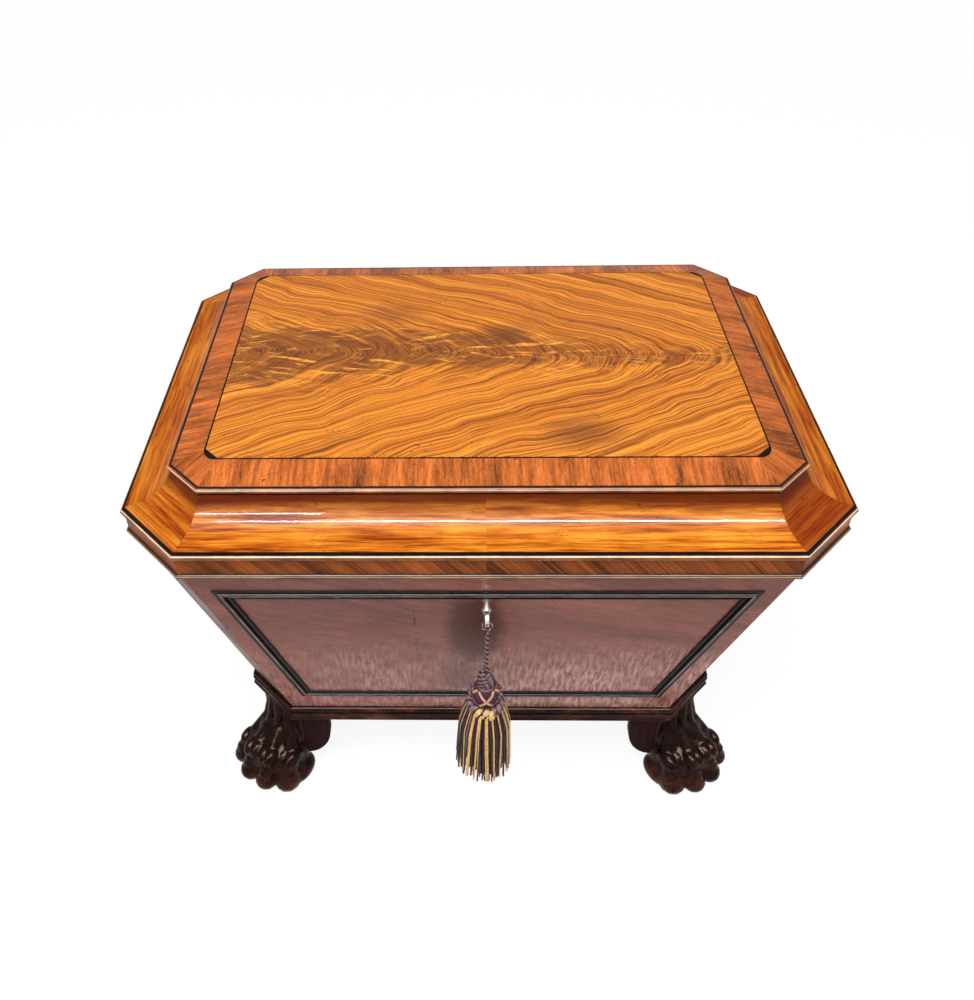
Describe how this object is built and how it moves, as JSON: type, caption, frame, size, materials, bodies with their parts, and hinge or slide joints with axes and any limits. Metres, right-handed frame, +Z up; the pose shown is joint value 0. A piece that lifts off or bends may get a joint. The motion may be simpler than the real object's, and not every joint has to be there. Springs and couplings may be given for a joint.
{
  "type": "cellarette",
  "caption": "Canted mahogany wine chest with tapering sides, a raised hinged lid, carved paw feet, a divided lined inside, and a lock with a key and tassel.",
  "frame": {"origin": "on the floor, under the middle of the chest's overall width and of its depth from the key's cord loop to the hinge knuckles", "axes": "+X to the right when facing the key, +Y towards the hinged back, +Z up"},
  "size_m": [0.7268, 0.5908, 0.5267],
  "materials": {
    "carcase_mahogany": "dark polished mahogany",
    "groundwork": "plain sawn timber",
    "division_board": "thin planed timber",
    "crossband": "red-brown polished crossbanding",
    "flame_veneer": "orange flame-figured polished veneer",
    "cavetto_mahogany": "glossy orange-red mahogany",
    "pale_bead": "pale worn moulding",
    "ebonised": "black polished wood",
    "base_moulding": "dark red-brown moulding",
    "carved_foot": "near-black carved wood with worn red-brown highlights",
    "liner_metal": "dull grey sheet metal",
    "brass": "aged brass",
    "steel": "dull dark steel",
    "cord": "twisted mauve and dark cord",
    "covered_mould": "purple covering with gold crossed thread",
    "fringe": "dark purple and gold strands"
  },
  "bodies": {
    "carcase": {"front_board": "carcase_mahogany", "back_board": "carcase_mahogany", "left_board": "carcase_mahogany", "right_board": "carcase_mahogany", "canted_corners": "carcase_mahogany", "rim_bead": "pale_bead", "base_moulding": "base_moulding", "front_panel_moulding": "ebonised", "end_panel_mouldings": "ebonised", "paw_front_left": "carved_foot", "paw_front_right": "carved_foot", "paw_back_left": "carved_foot", "paw_back_right": "carved_foot", "foot_brackets": "carved_foot", "foot_dowels": "groundwork", "bottom_board": "groundwork", "metal_liner": "liner_metal", "cross_divisions": "division_board", "long_divisions": "division_board", "carcase_hinge_leaves": "brass", "hinge_pins": "brass", "carcase_hinge_screws": "brass", "lock_case": "steel", "lock_cap": "steel", "drill_pin": "steel", "selvedge": "brass", "selvedge_screws": "brass", "escutcheon": "brass"},
    "lid": {"lid_frame_front": "groundwork", "lid_frame_back": "groundwork", "lid_frame_ends": "groundwork", "lid_frame_cants": "groundwork", "frieze_crossband": "crossband", "lid_edge_bead": "pale_bead", "lid_edge_string": "ebonised", "cavetto_front": "cavetto_mahogany", "cavetto_back": "cavetto_mahogany", "cavetto_left": "cavetto_mahogany", "cavetto_right": "cavetto_mahogany", "cavetto_cants": "cavetto_mahogany", "lid_top_board": "groundwork", "top_bead": "pale_bead", "lid_crossband": "crossband", "field_string": "ebonised", "field_veneer": "flame_veneer", "lid_hinge_leaves": "brass", "lid_hinge_screws": "brass", "link_plate": "brass", "link_plate_screws": "brass"},
    "bolt": {"lock_bolt": "steel"},
    "curtain": {"lock_curtain": "brass"},
    "key": {"key": "steel", "cord_loop": "cord"},
    "tassel": {"tassel_cord": "cord", "tassel_knob": "cord", "tassel_mould": "covered_mould", "tassel_ruff": "cord", "tassel_skirt": "fringe"}
  },
  "joints": [
    {"name": "lid_hinge", "type": "hinge", "parent": "carcase", "child": "lid", "pos_m": [0, 0.27495, 0.45215], "axis": [-1, 0, 0], "range_deg": [0, 95]},
    {"name": "lock_turn", "type": "hinge", "parent": "carcase", "child": "curtain", "pos_m": [0.0015, -0.24534, 0.4], "axis": [0, -0.9735, -0.2286], "range_deg": [0, 360]},
    {"name": "key_withdraw", "type": "slide", "parent": "curtain", "child": "key", "axis": [0, -0.9735, -0.2286], "range_m": [0, 0.045]},
    {"name": "tassel_swing", "type": "hinge", "parent": "key", "child": "tassel", "pos_m": [0.0015, -0.28136, 0.39154], "axis": [0, -0.9735, -0.2286], "continuous": true},
    {"name": "bolt_throw", "type": "slide", "parent": "carcase", "child": "bolt", "axis": [1, 0, 0], "range_m": [0, 0.008]}
  ],
  "couplings": [
    {"joint": "lock_turn", "follows": "bolt_throw", "rad_per_m": 785.4}
  ]
}
